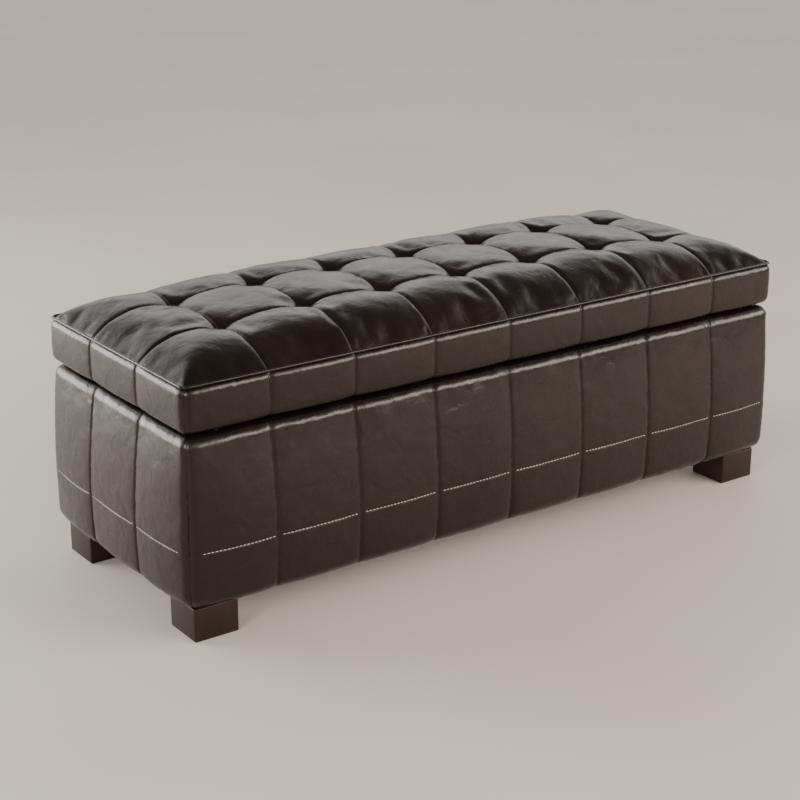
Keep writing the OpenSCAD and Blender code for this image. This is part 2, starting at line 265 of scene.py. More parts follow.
def seams_of(side):
    """Where the upright seams of a side lie, from its middle."""
    return [k * panel for k in range(-3, 4)] if side in LONG else [-panel / 2, panel / 2]


def from_seams(along, side):
    """How far places along a side lie from its nearest seam."""
    return np.min([np.abs(along - seam) for seam in seams_of(side)], axis=0)


def seam_places(side, radius, fine):
    """Places along a side from corner seam to corner seam, crowded at every seam."""
    end = half[side] - radius + radius * math.pi / 4
    marks = [-end, *seams_of(side), end]
    return joined(*[clustered(a, b, fine) for a, b in zip(marks, marks[1:])])


def wrap(side, places, out, height, radius):
    """The grid of points of a skin that runs along a side and round its corners to their seams.

    out is how far each point stands out from the rim, and height is how high it lies."""
    along, across = half[side], half["left" if side in LONG else "front"]
    a = np.broadcast_to(places[:, None], out.shape)
    straight, sharpest = along - radius, 3 * MM
    round_r = np.maximum(radius + out, sharpest)
    turn = np.clip((np.abs(a) - straight) / radius, 0, math.pi / 4)
    x = np.where(np.abs(a) <= straight, a * (along + out - round_r) / straight,
                 np.sign(a) * (along + out - round_r + round_r * np.sin(turn)))
    y = -(across + out - round_r + round_r * np.cos(turn))
    x, y = {"front": (x, y), "back": (-x, -y), "left": (y, -x), "right": (-y, x)}[side]
    return np.stack([x, y, np.broadcast_to(height, out.shape)], axis=-1)


def outward(points, towards):
    """The unit normals of a grid of points, on the side that looks towards a direction."""
    normal = np.cross(np.gradient(points, axis=1), np.gradient(points, axis=0))
    normal = normal / np.maximum(np.linalg.norm(normal, axis=-1, keepdims=True), 1e-12)
    return normal * np.sign((normal @ np.array(towards)).sum())


def crease(off, depth, width):
    """A narrow, round-bottomed crease along a line, off away from it."""
    return depth * np.exp(-(off / width) ** 2)


def shoulder(off, depth, reach):
    """A dip beside a seam that eases out over its reach."""
    return depth * np.exp(-off / reach)


def puckers(along, off, seed, reach=9 * MM):
    """Short gathers that run out from a seam: along is the place on the seam, off the distance from it."""
    gather_width, gather_length = 9 * MM, 30 * MM
    spots = np.stack([along / gather_width, off / gather_length, np.full(along.shape, seed)], axis=-1)
    return soft_noise(spots, 1, seed) * shoulder(off, 1, reach)


def grid_mesh(points, bm=None):
    """A bmesh grid laid on a grid of points, alone or beside what bm already holds."""
    rows, columns = points.shape[0] - 1, points.shape[1] - 1
    bm = bm or bmesh.new()
    for v in bmesh.ops.create_grid(bm, x_segments=rows, y_segments=columns, size=1)["verts"]:
        v.co = points[round((v.co.x + 1) / 2 * rows), round((v.co.y + 1) / 2 * columns)]
    bm.normal_update()
    return bm


def faced(bm, towards):
    """Turns the faces of a skin to look towards a direction."""
    if sum((f.normal for f in bm.faces), Vector()).dot(towards) < 0:
        bmesh.ops.reverse_faces(bm, faces=bm.faces[:])
    return bm


def base_skin(side, fine):
    """The base's padded surface on one side, over the rim and under the hem, before its seams are pulled in."""
    top, low = rim_z - edge_r, hem_z + hem_r
    rim_r = rim_width - edge_r
    rim = joined(
        line((-rim_width, rim_z - turn_in), (-rim_width, rim_z - rim_r), 3),
        arc((-rim_width + rim_r, rim_z - rim_r), rim_r, 180, 90, 4),
        arc((-edge_r, top), edge_r, 90, 0, 9),
    )
    outline = joined(
        rim,
        line((0, top), (0, stitch_z + stitch_band), 36),
        line((0, stitch_z + stitch_band), (0, stitch_z - stitch_band), 18),
        line((0, stitch_z - stitch_band), (0, low), 14),
        arc((-hem_r, low), hem_r, 0, -90, 11),
        line((-hem_r, hem_z), (-hem_r - turn_under, hem_z), 3),
    )
    places = seam_places(side, corner_r, fine)
    a, out = np.meshgrid(places, outline[:, 0], indexing="ij")
    height = np.broadcast_to(outline[:, 1], a.shape)
    on_face = np.arange(len(outline)) >= len(rim)
    swell = np.where(on_face, belly_out * (1 - ((np.clip(height, low, top) - belly_z) / (top - belly_z)) ** 2), 0)
    corner_reach, corner_share = 0.9 * panel, 0.55
    to_corner = np.clip(1 - (half[side] - np.abs(a)) / corner_reach, 0, 1)
    out = out + swell * (1 - corner_share * to_corner ** 2)
    return wrap(side, places, out, height, corner_r), a, height, outline


def foam():
    """Cut polyurethane foam: cream, matte, full of fine open cells."""
    cell_mm = 1.6
    material, tree, shader, place = start_material("upholstery_foam", Roughness=0.95)
    cells = add(tree, "ShaderNodeTexVoronoi", {"Vector": place, "Scale": 1 / (cell_mm * MM)}).outputs["Distance"]
    tree.links.new(ramp(tree, cells, (0.0, "#b9a468"), (0.5, "#e6d9a8")), shader.inputs["Base Color"])
    bump = add(tree, "ShaderNodeBump", {"Height": cells, "Strength": 0.6, "Distance": 0.4 * MM})
    tree.links.new(bump.outputs["Normal"], shader.inputs["Normal"])
    return material


foam_stuff = foam()
pad_below = 6 * MM
pad_foot, pad_head = hem_z + 8 * MM, rim_z - 24 * MM
rows_in_well, rows_under_hem = 8, 3
for side in SIDES:
    points = base_skin(side, 5)[0][:, rows_in_well:-rows_under_hem]
    bm = grid_mesh(points - outward(points, OUT[side]) * pad_below)
    slab = bmesh.ops.extrude_face_region(bm, geom=bm.faces[:])["geom"]
    axis, board = (1, "back_board") if side in LONG else (0, "right_board")
    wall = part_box(board)[1][axis] * OUT[side][axis]
    for v in slab:
        if isinstance(v, bmesh.types.BMVert):
            v.co[axis] = wall
            v.co.z = min(max(v.co.z, pad_foot), pad_head)
    bmesh.ops.recalc_face_normals(bm, faces=bm.faces[:])
    pad = new_piece("foam_pad_" + side, bm, foam_stuff, "base", "foam", side + "_pad")

# ---------------------------------------------------------------------------------------------
# Leather of the base: glossy bonded leather in four pieces, each sewn from upright panels.
# It is pulled over the rim and under the hem, and joined at the corners by a plain seam.


def bonded_leather():
    """Bonded leather with a sprayed, glossy finish: near-black espresso brown with a faint pebble.

    The skin ripples slightly over the foam, which breaks up its reflections."""
    pebble_mm = 2.2
    ripple_mm = 34
    crease_mm = 11
    tone_mm = 220
    material, tree, shader, place = start_material("bonded_leather", IOR=1.5, Specular_IOR_Level=0.43,
                                                   Specular_Tint=linear("#f0e4dc"))
    tone = add(tree, "ShaderNodeTexNoise", {"Vector": place, "Scale": 1 / (tone_mm * MM), "Detail": 2}).outputs["Fac"]
    tree.links.new(ramp(tree, tone, (0.3, "#0c0605"), (0.7, "#170d09")), shader.inputs["Base Color"])
    pebble = add(tree, "ShaderNodeTexVoronoi", {"Vector": place, "Scale": 1 / (pebble_mm * MM)},
                 feature="SMOOTH_F1").outputs["Distance"]
    ripple = add(tree, "ShaderNodeTexNoise",
                 {"Vector": place, "Scale": 1 / (ripple_mm * MM), "Detail": 3, "Distortion": 0.4}).outputs["Fac"]
    tree.links.new(between(tree, ripple, 0.14, 0.4), shader.inputs["Roughness"])
    crease = add(tree, "ShaderNodeTexNoise",
                 {"Vector": place, "Scale": 1 / (crease_mm * MM), "Detail": 2, "Distortion": 0.8}).outputs["Fac"]
    rippled = add(tree, "ShaderNodeBump", {"Height": ripple, "Strength": 0.8, "Distance": 2.2 * MM})
    creased = add(tree, "ShaderNodeBump", {"Height": crease, "Strength": 0.4, "Distance": 0.5 * MM,
                                           "Normal": rippled.outputs["Normal"]})
    grained = add(tree, "ShaderNodeBump", {"Height": pebble, "Strength": 0.15, "Distance": 0.25 * MM,
                                           "Normal": creased.outputs["Normal"]})
    tree.links.new(grained.outputs["Normal"], shader.inputs["Normal"])
    return material


def thickened(piece, thickness):
    """Gives a skin the thickness of its stuff, inwards."""
    shell = piece.modifiers.new("thickness", "SOLIDIFY")
    shell.thickness = thickness
    shell.offset = -1
    return piece


leather = bonded_leather()
stitch_rows = {}
for number, side in enumerate(SIDES):
    points, a, height, outline = base_skin(side, 20)
    rank = np.arange(points.shape[1])
    shown = np.clip((rank - 7) / 6, 0, 1) * np.clip((len(rank) - 3 - rank) / 9, 0, 1)
    end = a.max()
    from_seam, from_corner = from_seams(a, side), end - np.abs(a)
    hem_pull = np.clip((hem_z + 60 * MM - height) / (55 * MM), 0, 1) ** 1.5
    groove = (crease(from_seam, 1.5, 1.5 * MM) + shoulder(from_seam, 1.7, 8 * MM)) * (1 + 0.9 * hem_pull)
    puff = 1.9 * np.sin(np.minimum(np.minimum(from_seam, from_corner) / (0.5 * panel), 1) * math.pi / 2)
    stitched = np.clip((from_seam - 3 * MM) / (9 * MM), 0, 1) * np.clip((from_corner - 16 * MM) / (14 * MM), 0, 1)
    line_dip = crease(height - stitch_z, 0.9, 1.7 * MM) * stitched
    corner_dip = shoulder(from_corner, 2.4, 2.2 * MM) * (1 + 0.6 * hem_pull) - crease(from_corner, 1.7, MM)
    waves = 0.8 * soft_noise(points, 75 * MM, number * 7.3) + 0.35 * soft_noise(points, 26 * MM, number * 3.1)
    waves = waves + 0.7 * puckers(height, from_seam, number + 1.5) + 0.8 * puckers(height, from_corner, number + 8.5)
    waves = waves + 2.0 * puckers(a, np.abs(height - rim_z + 16 * MM), number + 4.5, 14 * MM)
    clear = np.clip((rim_z - 18 * MM - height) / (50 * MM), 0, 1) if side == "back" else 1
    lift = ((puff + waves) * clear - groove - line_dip - corner_dip) * MM * shown
    points = points + outward(points, OUT[side]) * lift[..., None]
    stitch_rows[side] = points[:, np.argmin(np.abs(outline[:, 1] - stitch_z))]
    bm = faced(grid_mesh(points), OUT[side])
    cover = new_piece("leather_base_" + side, bm, leather, "base", "leather", side + "_cover")
    thickened(cover, leather_t)

# ---------------------------------------------------------------------------------------------
# The row of stitches round the base: a thread sewn through the leather in each panel, pale partly as a painted
# highlight along the groove.
# It is laid in a shallow groove, and stops short of every seam and corner.


def thread_with_painted_highlight():
    """Bonded polyester thread, twisted and slightly shiny; its paleness against the leather is partly a painted
    highlight.
    """
    material, tree, shader, place = start_material("thread_with_painted_highlight", Roughness=0.5, Sheen_Weight=0.3)
    twist = add(tree, "ShaderNodeTexNoise", {"Vector": place, "Scale": 1 / (3 * MM), "Detail": 2}).outputs["Fac"]
    # Painted highlight: the thread is coloured paler to stand in for the bright lip of the stitch groove.
    tree.links.new(ramp(tree, twist, (0.3, "#94877d"), (0.7, "#b9aca1")), shader.inputs["Base Color"])
    return material


def rounded_capsule(bm, start, finish, radius, sides=6):
    """Adds one stitch: a short thread from start to finish whose ends dip into the leather."""
    along = finish - start
    ball = bmesh.ops.create_uvsphere(bm, u_segments=sides, v_segments=4, radius=1)["verts"]
    turn = UP.rotation_difference(along.normalized()).to_matrix().to_4x4()
    size = Matrix.Diagonal((radius, radius, along.length / 2, 1))
    bmesh.ops.transform(bm, matrix=Matrix.Translation((start + finish) / 2) @ turn @ size, verts=ball)


thread = thread_with_painted_highlight()
thread_r, thread_proud = 0.72 * MM, 0.35 * MM
stitch_len, stitch_gap = 5.5 * MM, 1.0 * MM
pitch = stitch_len + stitch_gap
seam_clear, corner_clear = 4 * MM, 12 * MM
for side in SIDES:
    axis = 0 if side in LONG else 1
    row = stitch_rows[side][np.argsort(stitch_rows[side][:, axis])]
    bm = bmesh.new()
    marks = [-half[side] + corner_clear, *seams_of(side), half[side] - corner_clear]
    for first, last in zip(marks, marks[1:]):
        count = int((last - first - 2 * seam_clear) / pitch)
        start = (first + last - count * pitch + stitch_gap) / 2
        for k in range(count):
            spots = []
            for at in (start + k * pitch, start + k * pitch + stitch_len):
                spot = Vector((0, 0, stitch_z))
                spot[axis] = at
                spot[1 - axis] = float(np.interp(at, row[:, axis], row[:, 1 - axis]))
                spots.append(spot + OUT[side] * thread_proud)
            rounded_capsule(bm, *spots, thread_r)
    new_piece("stitches_" + side, bm, thread, "base", "twine")

# ---------------------------------------------------------------------------------------------
# Lining of the storage well: dark non-woven cloth stapled to the boards and over the corner blocks.
# It hangs almost flat, with slight slack between its staples.


def lining_cloth(name, fibre_mm, dark, light):
    """Spun non-woven cloth: matte, with fine crossed fibres and a faint mottle."""
    material, tree, shader, place = start_material(name, Roughness=0.9, Sheen_Weight=0.2)
    fibres = add(tree, "ShaderNodeTexNoise",
                 {"Vector": place, "Scale": 1 / (fibre_mm * MM), "Detail": 5, "Distortion": 1.5}).outputs["Fac"]
    tree.links.new(ramp(tree, fibres, (0.3, dark), (0.7, light)), shader.inputs["Base Color"])
    bump = add(tree, "ShaderNodeBump", {"Height": fibres, "Strength": 0.3, "Distance": 0.2 * MM})
    tree.links.new(bump.outputs["Normal"], shader.inputs["Normal"])
    return material


def hanging(start, finish, low, high, inward, seed):
    """The points of a cloth wall from start to finish, slack by up to a millimetre between its edges."""
    cell = 15 * MM
    count = max(4, round((finish - start).length / cell))
    t, z = np.meshgrid(np.linspace(0, 1, count + 1), np.linspace(low, high, 17), indexing="ij")
    points = np.array(start)[None, None] * (1 - t[..., None]) + np.array(finish)[None, None] * t[..., None]
    points = points + np.array([0, 0, 1]) * z[..., None]
    slack = np.clip(np.minimum(t, 1 - t) * 8, 0, 1) * np.clip(np.minimum(z - low, high - z) / (30 * MM), 0, 1)
    sway = 0.9 * MM * slack * (0.5 + 0.5 * soft_noise(points, 110 * MM, seed))
    return points + np.array(inward)[None, None] * sway[..., None]


def laid_flat(low, high, level, columns, rows):
    """The points of a cloth laid over a box at a level, after their x and y."""
    x, y = np.meshgrid(np.linspace(low.x, high.x, columns), np.linspace(low.y, high.y, rows), indexing="ij")
    return x, y, np.stack([x, y, np.full(x.shape, level)], axis=-1)


lining = lining_cloth("well_lining", 2.5, "#191716", "#2a2725")
lining_t = 1 * MM
for number, side in enumerate(SIDES):
    low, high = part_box(side + "_lining")
    start, finish = Vector((low.x, low.y, 0)), Vector((high.x, high.y, 0))
    if side in LONG:
        start.y = finish.y = high.y if side == "front" else low.y
    else:
        start.x = finish.x = low.x if side == "right" else high.x
    bm = faced(grid_mesh(hanging(start, finish, low.z, high.z, -OUT[side], 11.3 + number)), -OUT[side])
    wall = new_piece("lining_" + side, bm, lining, "base", "lining", side + "_lining")
    thickened(wall, lining_t)

low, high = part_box("corner_linings")
leg = high.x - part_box("back_lining")[1].x + lining_t * math.sqrt(2)
bm = bmesh.new()
for sx in (-1, 1):
    for sy in (-1, 1):
        start = Vector((sx * (high.x - leg), sy * (high.y - lining_t), 0))
        finish = Vector((sx * (high.x - lining_t), sy * (high.y - leg), 0))
        grid_mesh(hanging(start, finish, low.z, high.z, Vector((-sx, -sy, 0)).normalized(), 17.9), bm)
bm.normal_update()
bmesh.ops.reverse_faces(bm, faces=[f for f in bm.faces if f.calc_center_median().xy.dot(f.normal.xy) > 0])
strips = new_piece("lining_corners", bm, lining, "base", "lining", "corner_linings")
thickened(strips, lining_t)

low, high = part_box("bottom_lining")
x, y, cloth = laid_flat(low, high, high.z, 81, 31)
cut_back = np.minimum(high.x + high.y - (leg + lining_t) - (np.abs(x) + np.abs(y)), 0)
cloth[..., 0] += np.sign(x) * cut_back / 2
cloth[..., 1] += np.sign(y) * cut_back / 2
cloth[..., 2] += 0.5 * MM * (0.5 + 0.5 * soft_noise(cloth, 120 * MM, 23.1))
floor_cloth = new_piece("lining_bottom", faced(grid_mesh(cloth), UP), lining, "base", "lining", "bottom_lining")
thickened(floor_cloth, lining_t)

# ---------------------------------------------------------------------------------------------
# Dust cover: black spun cloth stapled under the base over the turned-in leather.
# It is nipped flat under the feet and at its staples, and sags very slightly between.

low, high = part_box("dust_cover")
x, y, cloth = laid_flat(low, high, low.z, 101, 37)
over_foot, sag_reach, sag_depth = 90 * MM, 60 * MM, 2.2 * MM
free = np.clip((high.y - np.abs(y)) / sag_reach, 0, 1) * np.clip((high.x - over_foot - np.abs(x)) / sag_reach, 0, 1)
cloth[..., 2] -= sag_depth * free * (0.6 + 0.4 * soft_noise(cloth, 90 * MM, 5.5))
under_cloth = lining_cloth("dust_cloth", 1.8, "#0f0f0f", "#1d1c1c")
dust = new_piece("dust_cover_cloth", faced(grid_mesh(cloth), -UP), under_cloth, "base", "dust_cloth", "dust_cover")
thickened(dust, high.z - low.z)

# ---------------------------------------------------------------------------------------------
# Rim buffers: four small discs of black rubber with eased edges, near the corners of the well.
# The closed lid rests on them.


def rubber():
    """Soft black rubber, matte, with a little dust in it."""
    material, tree, shader, place = start_material("buffer_rubber", Roughness=0.85, Specular_IOR_Level=0.15)
    dust_specks = add(tree, "ShaderNodeTexNoise", {"Vector": place, "Scale": 1 / (1.5 * MM)}).outputs["Fac"]
    tree.links.new(ramp(tree, dust_specks, (0.3, "#0d0d0e"), (0.8, "#171718")), shader.inputs["Base Color"])
    return material


low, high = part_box("rim_buffers")
buffer_r, buffer_ease, sunk = 4 * MM, 1.2 * MM, 0.5 * MM
bm = bmesh.new()
for sx in (-1, 1):
    for sy in (-1, 1):
        disc = bmesh.ops.create_cone(bm, cap_ends=True, segments=32, radius1=buffer_r, radius2=buffer_r,
                                     depth=high.z - low.z + sunk)["verts"]
        bmesh.ops.translate(bm, verts=disc, vec=(sx * (high.x - buffer_r), sy * (high.y - buffer_r),
                                                 (high.z + low.z - sunk) / 2))
eased(bm, [e for e in bm.edges if abs(e.verts[0].co.z - e.verts[1].co.z) < touching
           and e.verts[0].co.z > low.z + MM], buffer_ease, 4)
buffers = new_piece("rubber_buffers", bm, rubber(), "base", "rubber", "rim_buffers")
flat_shaded_edges(buffers, 50)

# ---------------------------------------------------------------------------------------------
# Hinges: three small brass-plated steel butt hinges between the back rim and the lid board.
# Each has a leaf on the base, a leaf on the lid, a pin and its screws.


def hinge_steel():
    """Brass-plated steel: warm, satin, slightly brushed along the leaf."""
    material, tree, shader, place = start_material("brass_plated_steel", Metallic=1.0)
    along = add(tree, "ShaderNodeMapping", {"Vector": place, "Scale": (0.1, 1, 1)}).outputs["Vector"]
    brushed = add(tree, "ShaderNodeTexNoise", {"Vector": along, "Scale": 1 / (0.8 * MM), "Detail": 3}).outputs["Fac"]
    tree.links.new(ramp(tree, brushed, (0.3, "#8f7a45"), (0.7, "#b59c60")), shader.inputs["Base Color"])
    tree.links.new(between(tree, brushed, 0.25, 0.45), shader.inputs["Roughness"])
    return material


brassed = hinge_steel()
for part in ("base_leaf", "lid_leaf", "pin"):
    dress(brassed, "hinge_steel", *[f"hinge_{part}_{number}" for number in (1, 2, 3)])
dress(brassed, "hinge_steel", "hinge_screws_base", "hinge_screws_lid")

# ---------------------------------------------------------------------------------------------
# Lid filling: a foam slab on the lid board with wadding over it, pulled down at fourteen tufts.
# Every tuft is a waxed twine that runs through the board to a steel washer.


def twine():
    """Waxed upholstery twine."""
    material, tree, shader, place = start_material("waxed_twine", Roughness=0.55)
    ply = add(tree, "ShaderNodeTexNoise", {"Vector": place, "Scale": 1 / (2 * MM)}).outputs["Fac"]
    tree.links.new(ramp(tree, ply, (0.3, "#3b332c"), (0.7, "#5d5146")), shader.inputs["Base Color"])
    return material


dress(twine(), "twine", "tuft_twines")
lid_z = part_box("lid_border_front")[0].z
welt_low, welt_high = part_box("lid_welt")
welt_z = (welt_low.z + welt_high.z) / 2
lid_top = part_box("lid_top_cover")[1].z
pit_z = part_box("tuft_twines")[1].z + leather_t + 0.8 * MM
TUFTS = [(x * panel, y * panel / 2) for x in range(-3, 4) for y in (-1, 1)]
pinch_r = 8 * MM
top_inset = 5 * MM
top_edge_z = welt_z - 3 * MM
crown = lid_top - 2.2 * MM - top_edge_z


def cushion_places(side, fine):
    """Places across the lid, crowded at each seam and at both ends."""
    end = half[side] - top_inset
    marks = [-end, *seams_of(side), end]
    return joined(*[clustered(a, b, fine) for a, b in zip(marks, marks[1:])])


def cushion(places_x, places_y, below=0):
    """The lid's cushioned top: a crown, lower at both ends, creased along its seams and pulled down at its tufts.

    below is how far under the leather the wanted layer lies."""
    x, y = np.meshgrid(places_x, places_y, indexing="ij")
    end_x, end_y = half["front"] - top_inset, half["left"] - top_inset
    in_x, in_y = end_x - np.abs(x), end_y - np.abs(y)
    soft_edge = 110 * MM
    inner_x, inner_y = np.clip(in_x / soft_edge, 1e-4, 1), np.clip(in_y / soft_edge, 1e-4, 1)
    inner = (inner_x ** -3 + inner_y ** -3) ** (-1 / 3) / 2 ** (-1 / 3)
    inner = np.minimum(inner, np.minimum(inner_x, inner_y) ** 0.85)
    rise = np.sin(inner * math.pi / 2) ** 0.82
    seam_x, seam_y = from_seams(x, "front"), from_seams(y, "left")
    tuft = np.min([np.hypot(x - tx, y - ty) for tx, ty in TUFTS], axis=0)
    panel_x = np.clip(np.minimum(seam_x, np.maximum(in_x, 0)) / (panel / 2), 0, 1)
    panel_y = np.clip(np.minimum(seam_y, np.maximum(in_y, 0)) / (panel / 2), 0, 1)
    puff = 2.4 * MM * np.sin(panel_x * math.pi / 2) ** 0.7 * np.sin(panel_y * math.pi / 2) ** 0.7
    end_drop, end_shelf, end_climb = 11 * MM, 100 * MM, 220 * MM
    climbed = np.clip((in_x - end_shelf) / end_climb, 0, 1)
    full = crown - end_drop * (1 - climbed ** 2 * (3 - 2 * climbed))
    valleys = 0
    for off, cross, bold in ((seam_x, seam_y, 1.0), (seam_y, seam_x, 0.8)):
        near = np.exp(-(cross / (27 * MM)) ** 1.5)
        wide = (3 + 5 * near) * MM
        valleys = valleys + shoulder(off, (1.0 + 5.0 * bold * near) * MM, wide) * (0.45 + 0.55 * rise)
        valleys = valleys + crease(off, (0.8 + 1.6 * bold * near) * MM, 1.5 * MM)
    depth = full - (pit_z - top_edge_z)
    pit = shoulder(tuft, depth - 8 * MM, 13 * MM) + crease(tuft, 3.5 * MM, 38 * MM)
    height = top_edge_z + full * rise + (puff * rise - valleys - pit)
    height = np.maximum(height, np.where(tuft < pinch_r, pit_z - 0.2 * tuft, 0))
    # In plan the corners follow the welt's turn.
    corner = 10 * MM
    far_x, far_y = end_x - corner, end_y - corner
    cx, cy = np.clip((np.abs(x) - far_x) / corner, 0, 1), np.clip((np.abs(y) - far_y) / corner, 0, 1)
    px = np.where((cx > 0) & (cy > 0), np.sign(x) * (far_x + corner * cx * np.sqrt(1 - cy ** 2 / 2)), x)
    py = np.where((cx > 0) & (cy > 0), np.sign(y) * (far_y + corner * cy * np.sqrt(1 - cx ** 2 / 2)), y)
    points = np.stack([px, py, height], axis=-1)
    bulge = np.sin(rise * math.pi) * shoulder(np.minimum(in_x, in_y), 1.2 * MM, 18 * MM)
    normal = outward(points, UP)
    points = points + normal * np.array([1, 1, 0]) * bulge[..., None]
    points = points - normal * below
    points[..., 2] -= shoulder(tuft, below, 16 * MM)
    return points, x, y, seam_x, seam_y, np.minimum(in_x, in_y)


wadding = lining_cloth("polyester_wadding", 6, "#d8d6d0", "#f2f1ec")
lid_board_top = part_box("lid_board")[1].z
for name, below, node in (("lid_foam_slab", 12 * MM, "lid_foam"), ("lid_wadding_layer", 5 * MM, "lid_wadding")):
    points = cushion(cushion_places("front", 8), cushion_places("left", 8), below)[0]
    for axis, side in enumerate(("front", "left")):
        points[..., axis] *= 1 - (below + 3 * MM) / half[side]
    bm = faced(grid_mesh(points), UP)
    if node == "lid_foam":
        for v in bmesh.ops.extrude_face_region(bm, geom=bm.faces[:])["geom"]:
            if isinstance(v, bmesh.types.BMVert):
                v.co.z = lid_board_top
        bmesh.ops.recalc_face_normals(bm, faces=bm.faces[:])
        fill = new_piece(name, bm, foam_stuff, "lid", "foam", node)
    else:
        fill = new_piece(name, bm, wadding, "lid", "wadding", node)
        thickened(fill, 5 * MM)

# ---------------------------------------------------------------------------------------------
# Lid border: the leather band round the lid, four pieces sewn from panels like the base.
# It is sewn to the welt at the top, and turned under the lid board at the bottom.

lid_roll = 14 * MM
top_roll, top_turn = 14 * MM, math.radians(50)
for number, side in enumerate(SIDES):
    low, high = lid_z + lid_roll, welt_z - 13 * MM
    outline = joined(
        line((-lid_roll - turn_in, lid_z), (-lid_roll, lid_z), 4),
        arc((-lid_roll, low), lid_roll, -90, 0, 9),
        line((0, low), (0, high), 18),
        arc((-top_roll, high), top_roll, 0, math.degrees(top_turn), 9),
        line((top_roll * (math.cos(top_turn) - 1), high + top_roll * math.sin(top_turn)),
             (-6.5 * MM, welt_z - 1.2 * MM), 2),
    )
    places = seam_places(side, corner_r, 20)
    a, out = np.meshgrid(places, outline[:, 0], indexing="ij")
    height = np.broadcast_to(outline[:, 1], a.shape)
    points = wrap(side, places, out, height, corner_r)
    rank = np.arange(points.shape[1])
    shown = np.clip((rank - 3) / 7, 0, 1) * np.clip((len(rank) - 1 - rank) / 5, 0, 1)
    end = a.max()
    from_seam, from_corner = from_seams(a, side), end - np.abs(a)
    groove = crease(from_seam, 1.4, 1.5 * MM) + shoulder(from_seam, 1.3, 7 * MM)
    puff = 1.8 * np.sin(np.minimum(np.minimum(from_seam, from_corner) / (0.5 * panel), 1) * math.pi / 2)
    swell = 1.6 * np.sin(np.clip((height - lid_z) / (welt_z - lid_z), 0, 1) * math.pi)
    waves = 0.6 * soft_noise(points, 60 * MM, 31 + number * 5.7) + 0.25 * soft_noise(points, 22 * MM, number)
    waves = waves + 0.8 * puckers(a, np.abs(welt_z - 4 * MM - height), number + 3.5, 8 * MM)
    corner_dip = shoulder(from_corner, 1.8, 2.2 * MM) - crease(from_corner, 1.4, MM)
    clear = np.clip((height - lid_z - 16 * MM) / (40 * MM), 0, 1) if side == "back" else 1
    lift = ((puff + swell + waves) * clear - groove - corner_dip) * MM * shown
    bm = faced(grid_mesh(points + outward(points, OUT[side]) * lift[..., None]), OUT[side])
    border = new_piece("leather_border_" + side, bm, leather, "lid", "leather", "lid_border_" + side)
    thickened(border, leather_t)

# ---------------------------------------------------------------------------------------------
# Welt: a thin piping cord in a folded leather strip, sewn between the border and the top.
# It is pinched a little where a seam meets it.

welt_r, welt_in = 2.2 * MM, 2.3 * MM
welt_out = {"front": half["front"] - welt_in, "left": half["left"] - welt_in}
welt_turn = corner_r - welt_in
path = []
for sx, sy, start in ((1, 1, 0), (-1, 1, 90), (-1, -1, 180), (1, -1, 270)):
    centre = (sx * (welt_out["front"] - welt_turn), sy * (welt_out["left"] - welt_turn))
    path.append(arc(centre, welt_turn, start, start + 90, 10))
path.append(path[0][:1])
track = joined(path[0], *[joined(line(a[-1], b[0], count), b)
                          for a, b, count in zip(path, path[1:], (160, 60, 160, 60))])
ahead = np.roll(track, -1, axis=0) - np.roll(track, 1, axis=0)
ahead[0] = ahead[-1] = track[1] - track[-2]
ahead = ahead / np.linalg.norm(ahead, axis=1, keepdims=True)
outside = np.stack([ahead[:, 1], -ahead[:, 0]], axis=1)
on_long = np.abs(track[:, 1]) > welt_out["left"] - MM
from_seam = np.where(on_long, from_seams(track[:, 0], "front"), from_seams(track[:, 1], "left"))
pinch = crease(from_seam, 0.7 * MM, 4 * MM)
ring = np.radians(np.linspace(0, 360, 13))
tube = np.empty((len(track), len(ring), 3))
for k, angle in enumerate(ring):
    tube[:, k, :2] = track + outside * (welt_r * math.cos(angle) - pinch)[:, None]
    tube[:, k, 2] = welt_z + welt_r * math.sin(angle)
bm = grid_mesh(tube)
bmesh.ops.remove_doubles(bm, verts=bm.verts[:], dist=0.02 * MM)
bmesh.ops.recalc_face_normals(bm, faces=bm.faces[:])
welt = new_piece("leather_welt", bm, leather, "lid", "leather", "lid_welt")

# ---------------------------------------------------------------------------------------------
# Lid top: twenty-four panels of the same leather sewn into one cover and tufted at the crossings.
# The filling presses it up while the welt and the tufts hold it, which is settled as cloth on a coarser grid.


def settled(start, held, spare, frames=16):
    """Lets a sheet of points swell as cloth that is cut larger by spare, and says how far each point moves."""
    rows, columns = start.shape[0] - 1, start.shape[1] - 1
    bm = bmesh.new()
    verts = bmesh.ops.create_grid(bm, x_segments=rows, y_segments=columns, size=1)["verts"]
    bm.verts.index_update()
    spots = np.zeros((len(verts), 2), int)
    for v in verts:
        spots[v.index] = round((v.co.x + 1) / 2 * rows), round((v.co.y + 1) / 2 * columns)
        v.co = start[tuple(spots[v.index])]
    bm.normal_update()
    mesh = bpy.data.meshes.new("settling")
    faced(bm, UP).to_mesh(mesh)
    bm.free()
    sheet = bpy.data.objects.new("settling", mesh)
    bpy.context.scene.collection.objects.link(sheet)
    fixed = [int(k) for k in np.flatnonzero(held[spots[:, 0], spots[:, 1]])]
    sheet.vertex_groups.new(name="held").add(fixed, 1, "REPLACE")
    cloth = sheet.modifiers.new("cloth", "CLOTH").settings
    cloth.quality, cloth.mass, cloth.air_damping = 6, 0.3, 1
    cloth.tension_stiffness = cloth.compression_stiffness = 25
    cloth.shear_stiffness, cloth.bending_stiffness = 10, 8
    cloth.vertex_group_mass = "held"
    cloth.shrink_min = -spare
    cloth.use_pressure, cloth.uniform_pressure_force = True, 3
    cloth.effector_weights.gravity = 0
    for step in range(1, frames + 1):
        bpy.context.scene.frame_set(step)
    shown = sheet.evaluated_get(bpy.context.evaluated_depsgraph_get()).to_mesh()
    moved = np.zeros(start.shape)
    moved[spots[:, 0], spots[:, 1]] = [v.co for v in shown.vertices]
    bpy.data.objects.remove(sheet)
    bpy.data.meshes.remove(mesh)
    bpy.context.scene.frame_set(1)
    return moved - start


